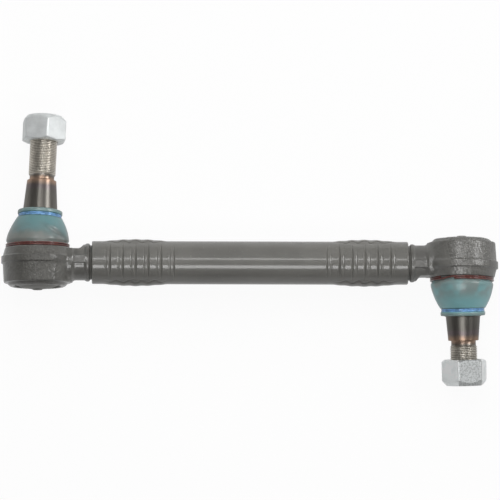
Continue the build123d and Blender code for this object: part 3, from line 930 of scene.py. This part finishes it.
class LINK_OT_make_studs(bpy.types.Operator):
    """Make the ball studs, with a real thread"""

    bl_idname = "link.make_studs"
    bl_label = "Ball studs"

    def execute(self, context):
        settings = context.scene.stabilizer_link
        stud = settings.stud
        edge = 0.0006
        rows_per_turn, blank_slope = 9, 0.8
        angle = columns_round(144)
        # Painted shade: the right stud's steel is painted darker than the left's.
        painted_light_by_end = {"left": 1.0, "right": 0.72}
        for end in ends:
            taper, thread = mounts[f"{end.name}_taper"], mounts[f"{end.name}_thread"]
            taper_radius = taper["dims"]["r_mm"] / 1000
            taper_start = end.along_stud(taper["pos_m"])
            taper_end = taper_start + taper["dims"]["length_mm"] / 1000
            small = taper_radius - (taper_end - taper_start) / stud.taper_ratio / 2
            thread_middle = end.along_stud(thread["pos_m"])
            thread_radius_out = thread["dims"]["r_mm"] / 1000
            half_thread = thread["dims"]["length_mm"] / 2000
            start, tip = thread_middle - half_thread, thread_middle + half_thread
            seat = taper_radius + stud.seat_step
            root = thread_radius_out - stud.undercut
            flat_angle = pi - acos(stud.ball_flat / stud.ball_radius)
            swing = np.linspace(flat_angle, np.arcsin(stud.neck_radius / stud.ball_radius), 40)
            ball = np.stack([stud.ball_radius * np.sin(swing), stud.ball_radius * np.cos(swing)], axis=-1)
            lower = rounded([
                (stud.neck_radius, ball[-1][1] + 0.0002, 0),
                (stud.neck_radius, stud.neck_end, 0.003),
                (seat, stud.seat_start, edge),
                (seat, taper_start, edge),
                (taper_radius, taper_start, edge / 2),
                (small, taper_end, edge),
                (root, taper_end + edge * 0.4, edge),
                (root, start - edge, 0),
            ])
            height = np.arange(start - 0.8 * edge, tip - 0.0016, stud.pitch / rows_per_turn)
            tail = [
                (thread_radius_out, tip - stud.tip_chamfer),
                (thread_radius_out - stud.tip_chamfer, tip),
                (stud.centre_hole, tip),
                (0.05 * stud.centre_hole, tip - 0.95 * stud.centre_hole * sqrt(3)),
            ]
            blank = np.clip(root + blank_slope * (height - start + edge), root, thread_radius_out)
            cut = thread_radius(
                height[:, None], angle[None, :], thread_radius_out, stud.thread_depth, stud.pitch,
                start - 2 * stud.pitch, tip)
            cut = np.minimum(blank[:, None], cut)
            grid = round_grid(angle, [*ball, *lower, *zip(cut, height), *tail])
            piece = skin(f"{end.name}_stud", grid, sharp=radians(70))
            steel = turned_steel(
                f"turned_steel_{end.name}", settings.colour, taper_end, thread_radius_out, painted_light_by_end[end.name])
            body = f"{end.name}_stud_body"
            place(piece, end.stud_place, steel, body, "turned_steel", f"{end.name}_ball_stud")
        return {"FINISHED"}


def boot_wall_radius(share, boot):
    """Outer radius of the boot's wall, by its share of the way from the foot to the throat."""
    swell_end, fall_start, fall_power = 0.12, 0.1, 1.6
    swell = boot.foot_radius + (boot.bulge - boot.foot_radius) * smooth_step(share / swell_end)
    fall = np.clip((share - fall_start) / (1 - fall_start), 0, 1)**fall_power
    return swell - (boot.bulge - boot.throat_radius) * fall


def boot_crease(point, boot):
    """How deep a soft slanting crease is at a point of the wall: 1 along its middle."""
    turn = np.arctan2(point[0], point[2])
    rise = (point[1] - boot.bottom) / (boot.throat - boot.bottom)
    rise_in_front, slant = 0.72, 0.42
    centre, length, width = 0.75, 0.45, 0.11
    middle = rise_in_front - slant * turn
    along = np.exp(-((turn - centre) / length)**2)
    return along * np.exp(-((rise - middle) / width)**2)


def mark(piece, name, values):
    """Give each point of a piece a value that its finish can read."""
    piece.data.attributes.new(name, "FLOAT", "POINT").data.foreach_set("value", values)


class LINK_OT_make_boots(bpy.types.Operator):
    """Make the rubber boots, bent to the studs' lean"""

    bl_idname = "link.make_boots"
    bl_label = "Boots"

    def execute(self, context):
        settings = context.scene.stabilizer_link
        boot = settings.boot
        edge = 0.0005
        share = np.linspace(0.0, 1.0, 44)
        height = boot.foot_top + (boot.throat - boot.foot_top) * share
        wall = np.stack([boot_wall_radius(share, boot), height], axis=-1)
        foot = rounded([
            (boot.foot_bore, boot.foot_top, 0),
            (boot.foot_bore, boot.bottom, edge),
            (boot.foot_radius, boot.bottom, edge),
            (boot.foot_radius, boot.foot_top, 0),
        ])[:-1]
        collar = rounded([
            (boot.throat_radius, boot.throat, 0),
            (boot.throat_radius - 0.0004, boot.throat + 0.0001, edge),
            (boot.track_radius, boot.throat + 0.0001, edge),
            (boot.track_radius, boot.lip_start, edge),
            (boot.lip_radius, boot.lip_start, 0.0011),
            (boot.lip_radius, boot.lip_end, 0.0013),
            (boot.lip_bore, boot.lip_end, edge),
            (boot.lip_bore, boot.throat - 0.0016, edge),
            (boot.throat_radius - boot.wall, boot.throat - 0.0016, edge),
            (boot.throat_radius - boot.wall, boot.throat - 0.0022, 0),
        ])[1:-1]
        inner = wall[::-1][2:].copy()
        inner[:, 0] = np.maximum(inner[:, 0] - boot.wall, 0)
        outline = np.concatenate([foot, wall, collar, inner])
        grid = round_grid(columns_round(168), outline)
        wall_share = np.clip((outline[:, 1] - boot.foot_top) / (boot.throat - boot.foot_top), 0, 1)
        lean_share = smooth_step(wall_share)
        slack = np.sin(pi * wall_share)
        dent_size, wall_middle = 0.016, 0.024
        creases = {"left": 4.5, "right": 0.7}
        # Painted light: the right boot's teal is painted much lighter than the left's.
        painted_light_by_boot = {"left": 0.97, "right": 1.65}
        clearness = {"left": 0.8, "right": 0.5}
        for number, end in enumerate(ends):
            rows = []
            for row, lean, loose in zip(grid, lean_share, slack):
                to_row_frame = end.leaned(float(lean))
                ring = []
                for point in row:
                    dent = noise.noise(Vector(point) / dent_size + Vector((4.0 + 9 * number, 2.0, 6.0)))
                    dent -= creases[end.name] * boot_crease(point, boot)
                    factor = 1 + boot.dents * loose * dent / wall_middle
                    moved = to_row_frame @ Vector((point[0] * factor, point[1], point[2] * factor))
                    ring.append(tuple(moved))
                rows.append(ring)
            piece = skin(f"{end.name}_rubber_boot", np.array(rows), closed=True)
            spots = [vertex.co for vertex in piece.data.vertices]
            total = boot.lip_end - boot.bottom
            mark(piece, "rise", [(end.along_stud(spot) - boot.bottom) / total for spot in spots])
            # The crease mark darkens the rubber along the crease: painted shade.
            fold = creases[end.name] / max(creases.values())
            mark(piece, "crease", [fold * boot_crease(end.to_upright(spot), boot) for spot in spots])
            rubber = boot_rubber(
                f"boot_rubber_{end.name}", settings.colour, clearness[end.name], painted_light_by_boot[end.name])
            piece.data.materials.append(rubber)
            low = end.housing_place @ Vector((0, boot.foot_top + boot.bend_margin, 0))
            high = end.stud_place @ Vector((0, boot.throat - boot.bend_margin, 0))
            half = (end.upright + end.stud_axis).normalized() * (high - low).length / 2
            start, finish = (low + high) / 2 - half, (low + high) / 2 + half
            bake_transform(piece)
            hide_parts(f"{end.name}_boot")
        return {"FINISHED"}


def wire_ring(name, radius, wire, start, turns, jog, seam):
    """A ring of wire that climbs by its own thickness from turn to turn, with rounded ends."""
    total = turns * ROUND - jog
    rows_per_turn, sides, blunt_tip = 150, 14, 0.02
    angle = np.linspace(0, total, rows_per_turn * turns)
    height = np.full_like(angle, start + wire)
    for number in range(1, turns):
        climb = smooth_step((angle - (number * ROUND - jog)) / jog)
        height = height + 2 * wire * climb
    around = columns_round(sides)
    near_end = np.minimum(angle, total - angle) * radius / wire
    thin = np.sqrt(np.clip(1 - (1 - np.clip(near_end, blunt_tip, 1))**2, 0, 1))
    reach = radius + wire * thin[:, None] * np.cos(around)
    lift = height[:, None] + wire * thin[:, None] * np.sin(around)
    turn = (angle + seam)[:, None]
    grid = np.stack([reach * np.sin(turn), lift, reach * np.cos(turn)], axis=-1)
    return skin(name, grid)


class LINK_OT_make_rings(bpy.types.Operator):
    """Make the wire rings that hold each boot"""

    bl_idname = "link.make_rings"
    bl_label = "Boot rings"

    def execute(self, context):
        settings = context.scene.stabilizer_link
        ring, colour = settings.ring, settings.colour
        red = coated_wire("ring_red_coating", colour.ring_red, 0.5)
        blue = coated_wire("ring_blue_coating", colour.ring_blue, 0.0)
        seams = {"left": radians(200), "right": radians(46)}
        for end in ends:
            piece = wire_ring(
                f"{end.name}_housing_ring", ring.housing_radius, ring.housing_wire, ring.housing_start,
                ring.turns, ring.jog, seams[end.name])
            place(piece, end.housing_place, red, LINK_BODY, "ring_red", f"{end.name}_boot_housing_ring")
            piece = wire_ring(
                f"{end.name}_stud_ring", ring.stud_radius, ring.stud_wire, ring.stud_start,
                ring.turns, ring.jog, radians(160))
            body = f"{end.name}_collar_body"
            place(piece, end.stud_place, blue, body, "ring_blue", f"{end.name}_boot_stud_ring")
        return {"FINISHED"}


class LINK_OT_make_nuts(bpy.types.Operator):
    """Make the lock nuts, with worn edges and a coned end"""

    bl_idname = "link.make_nuts"
    bl_label = "Lock nuts"

    def execute(self, context):
        settings = context.scene.stabilizer_link
        nut = settings.nut
        corner = nut.across_flats / sqrt(3)
        sector = 34
        crowding = 0.86
        share = np.arange(sector) / sector
        warped = share - crowding / ROUND * np.sin(ROUND * share)
        from_corner = np.concatenate([(number + warped) * pi / 3 for number in range(6)])
        beside_flat = np.mod(from_corner, pi / 3) - pi / 6
        hexagon = nut.across_flats / 2 / np.cos(beside_flat)
        face_drop, face_inset = 0.0018, 0.0008
        flat_radius = nut.across_flats / 2 - face_inset
        bore_edge = nut.bore + 0.0006
        corner_wear = 0.00012
        pitch, bore_depth = settings.stud.pitch, settings.stud.thread_depth * 0.6
        rows_per_turn = 7
        stains = {"left": 0.05, "right": 0.9}
        # Painted light: each nut's zinc is painted lighter than its own colour, the right nut more than the left.
        painted_light_by_end = {"left": 1.34, "right": 1.55}
        for end in ends:
            corners = end.node_points("lock_nut")
            base = min(point.y for point in corners)
            top = max(point.y for point in corners)
            widest = max(corners, key=lambda point: Vector((point.x, point.z)).length)
            turn = Vector((widest.x, widest.z))
            angle = from_corner + np.arctan2(turn.x, turn.y)
            level = np.concatenate([
                base + np.array([0.0001, 0.0004, 0.0008, 0.0013, 0.0018, 0.0024]),
                np.linspace(base + 0.003, top - nut.cone_height - 0.003, 6),
                np.linspace(top - nut.cone_height - 0.0025, top - 0.0001, 22),
            ])
            low_cone = flat_radius + (level - base) * (corner - flat_radius) / face_drop
            land = nut.bore + nut.end_land
            high_cone = land + (top - level) * (corner - land) / nut.cone_height
            outer = soft_min(hexagon[None, :], corner - corner_wear, nut.edge)
            outer = soft_min(outer, low_cone[:, None], nut.edge)
            outer = soft_min(outer, high_cone[:, None], nut.edge)
            bore_level = np.arange(top - 0.0006, base + 0.0006, -pitch / rows_per_turn)
            thread = 2 * nut.bore - thread_radius(
                bore_level[:, None], angle[None, :], nut.bore, bore_depth, pitch, base, top)
            rows = [*zip(outer, level)]
            rows += [(bore_edge + (outer[-1] - bore_edge) * part, top) for part in (0.97, 0.8, 0.5, 0.2)]
            rows += [(bore_edge, top), *zip(thread, bore_level), (bore_edge, base)]
            rows += [(bore_edge + (outer[0] - bore_edge) * part, base) for part in (0.3, 0.7, 0.97)]
            grid = round_grid(angle, rows)
            piece = skin(f"{end.name}_nut", grid, closed=True, sharp=radians(60))
            colour = shaded(settings.colour.zinc, painted_light_by_end[end.name])
            zinc = zinc_plate(f"zinc_plate_{end.name}", colour, stains[end.name])
            place(piece, end.stud_place, zinc, f"{end.name}_nut_body", "zinc_nut", f"{end.name}_lock_nut")
        return {"FINISHED"}


class LINK_OT_finish_inner_pieces(bpy.types.Operator):
    """Give the pieces inside the joints their finishes"""

    bl_idname = "link.finish_inner_pieces"
    bl_label = "Inner pieces"

    def execute(self, context):
        race = hidden_finish("race_plastic", slot_colours["race_plastic"], 0.0, 0.38, 0.006)
        spring = hidden_finish("spring_steel", slot_colours["spring_steel"], 1.0, 0.3, 0.004)
        seal = hidden_finish("seal_rubber", slot_colours["seal_rubber"], 0.0, 0.55, 0.003)
        finishes = {"upper_race": race, "lower_race": race, "disc_spring": spring, "cover_seal": seal}
        for end in ends:
            for kind, material in finishes.items():
                mesh = frame["nodes"][f"{end.name}_{kind}"].data
                mesh.materials.clear()
                mesh.materials.append(material)
        return {"FINISHED"}


def light_path(nodes):
    """1 for what the camera sees, also mirrored or through glass, and how bright it shows there."""
    kinds = "Camera", "Glossy", "Transmission"
    camera, mirrored, through = [
        nodes.add("ShaderNodeLightPath", {}, {}, f"Is {kind} Ray") for kind in kinds]
    seen = camera.math("MAXIMUM", camera, camera.math("MAXIMUM", mirrored, through))
    return seen, 1 - mirrored * MIRRORED_LOSS


def floor_material():
    """White floor that keeps a faint shadow, stays white for the camera and shows darker in reflections."""
    material = bpy.data.materials.new("studio_floor")
    material.use_nodes = True
    nodes = Nodes(material.node_tree)
    seen, brightness = light_path(nodes)
    place = nodes.add("ShaderNodeTexCoord", {}, {}, "Object")
    tone = nodes.mix(nodes.noise(place, 0.4, 2), (0.80, 0.80, 0.80), (0.84, 0.84, 0.84))
    matte = nodes.add("ShaderNodeBsdfDiffuse", {}, {"Color": tone})
    glow = nodes.add("ShaderNodeEmission", {}, {"Color": (1, 1, 1), "Strength": brightness})
    glow_share = 0.94
    mixed = nodes.add("ShaderNodeMixShader", {}, {0: seen * glow_share, 1: matte, 2: glow})
    nodes.add("ShaderNodeOutputMaterial", {}, {"Surface": mixed})
    return material


def make_world(scene, fill):
    """White surroundings under a dimmer ceiling, darker in reflections, which light the link softly."""
    world = bpy.data.worlds.new("studio")
    world.use_nodes = True
    scene.world = world
    nodes = Nodes(world.node_tree)
    up = nodes.part_of(nodes.add("ShaderNodeTexCoord", {}, {}, "Generated"), "Z")
    ceiling = up.step(0.0, 0.13)
    seen, brightness = light_path(nodes)
    ceiling_loss = 0.62
    strength = seen * ((1 - ceiling * ceiling_loss) * brightness) + (1 - seen) * fill
    back = nodes.add("ShaderNodeBackground", {}, {"Color": (1, 1, 1), "Strength": strength})
    nodes.add("ShaderNodeOutputWorld", {}, {"Surface": back})


def make_lamp(name, lamp_place, size, power, glossy=True):
    """A soft rectangular lamp that points at the link's middle, with its first side along X if it can."""
    data = bpy.data.lights.new(name, "AREA")
    data.shape = "RECTANGLE"
    data.size, data.size_y = size
    data.energy = power
    lamp = bpy.data.objects.new(name, data)
    lamp.location = lamp_place
    direction = Vector(lamp_place).normalized()
    side = Vector((1, 0, 0))
    most_lean = 0.6
    if abs(direction.x) > most_lean:
        side = Vector((0, 0, 1)).cross(direction).normalized()
    upright = direction.cross(side).normalized()
    turn = Matrix((upright.cross(direction), upright, direction)).transposed()
    lamp.rotation_euler = turn.to_euler()
    lamp.visible_glossy = glossy
    lamp.visible_camera = False
    bpy.context.scene.collection.objects.link(lamp)


class LINK_OT_make_stage(bpy.types.Operator):
    """Make the floor, the lamps and the camera"""

    bl_idname = "link.make_stage"
    bl_label = "Stage"

    def execute(self, context):
        scene = context.scene
        stage = scene.stabilizer_link.stage
        scene.view_settings.view_transform = "Standard"
        make_world(scene, stage.fill)
        floor_height = cad_box[0][2]
        reach = 4.0
        mesh = bpy.data.meshes.new("studio_floor")
        corners = [(-reach, -reach), (reach, -reach), (reach, reach), (-reach, reach)]
        mesh.from_pydata([(x, y, floor_height) for x, y in corners], [], [(0, 1, 2, 3)])
        floor = bpy.data.objects.new("studio_floor", mesh)
        floor.data.materials.append(floor_material())
        scene.collection.objects.link(floor)
        for name, angle, size, power, glossy in (
            ("front_strip", -27, (0.7, 0.36), stage.strip_power, True),
            ("rear_strip", 15, (0.7, 0.16), stage.strip_power * 0.36, True),
            ("key", 48, (1.5, 0.9), stage.key_power, False),
        ):
            turn = radians(angle)
            lamp_place = (0, stage.lamp_reach * sin(turn), stage.lamp_reach * cos(turn))
            make_lamp(name, lamp_place, size, power, glossy)
        for name, angle, size, power in (
            ("overhead", -10.5, (0.42, 1.6), stage.band_power * 0.9),
            ("side", 52, (1.6, 0.8), stage.band_power * 2.3),
        ):
            turn = radians(angle)
            lamp_place = (stage.band_reach * sin(turn), stage.band_lift, stage.band_reach * cos(turn))
            make_lamp(name, lamp_place, size, power)
        lean_y, lean_x = -sin(stage.tilt), -sin(stage.swing)
        direction = Vector((lean_x, lean_y, sqrt(1 - lean_x**2 - lean_y**2)))
        camera_data = bpy.data.cameras.new("photo_camera")
        camera_data.sensor_width = 36
        camera_data.lens = camera_data.sensor_width * stage.distance / stage.shown_width
        camera = bpy.data.objects.new("photo_camera", camera_data)
        camera.location = Vector((0, stage.aim, 0)) + direction * stage.distance
        across = Vector((0, 1, 0)).cross(direction).normalized()
        turn = Matrix((across, direction.cross(across), direction)).transposed()
        camera.rotation_euler = turn.to_euler()
        scene.collection.objects.link(camera)
        scene.camera = camera
        return {"FINISHED"}


class VIEW3D_PT_stabilizer_link(bpy.types.Panel):
    """Lists the link's sizes, its pieces and its stage"""

    bl_label = "Stabilizer Link"
    bl_idname = "VIEW3D_PT_stabilizer_link"
    bl_space_type = "VIEW_3D"
    bl_region_type = "UI"
    bl_category = "Stabilizer Link"

    def draw(self, context):
        settings = context.scene.stabilizer_link
        for part, operator in panel_rows:
            box = self.layout.box()
            box.operator(operator.bl_idname)
            for name in getattr(settings, part).__annotations__:
                box.prop(getattr(settings, part), name)


panel_rows = [
    ("tube", LINK_OT_make_tube),
    ("head", LINK_OT_make_heads),
    ("cover", LINK_OT_make_covers),
    ("stud", LINK_OT_make_studs),
    ("boot", LINK_OT_make_boots),
    ("ring", LINK_OT_make_rings),
    ("nut", LINK_OT_make_nuts),
    ("colour", LINK_OT_finish_inner_pieces),
    ("stage", LINK_OT_make_stage),
]

classes = [
    TubeSizes, HeadSizes, CoverSizes, StudSizes, BootSizes, RingSizes, NutSizes, FinishColours,
    StageSettings, LinkSettings, *(operator for _, operator in panel_rows), VIEW3D_PT_stabilizer_link,
]


def register():
    for entry in classes:
        bpy.utils.register_class(entry)
    bpy.types.Scene.stabilizer_link = group_setting(
        "Stabilizer link", "Sizes and colours of the link", LinkSettings)


def unregister():
    del bpy.types.Scene.stabilizer_link
    for entry in reversed(classes):
        bpy.utils.unregister_class(entry)


def main():
    """Make every piece in order."""
    register()
    bpy.ops.link.make_stage()
    bpy.ops.link.make_tube()
    bpy.ops.link.make_heads()
    bpy.ops.link.make_covers()
    bpy.ops.link.make_studs()
    bpy.ops.link.make_boots()
    bpy.ops.link.make_rings()
    bpy.ops.link.make_nuts()
    bpy.ops.link.finish_inner_pieces()


if __name__ == "__main__":
    main()
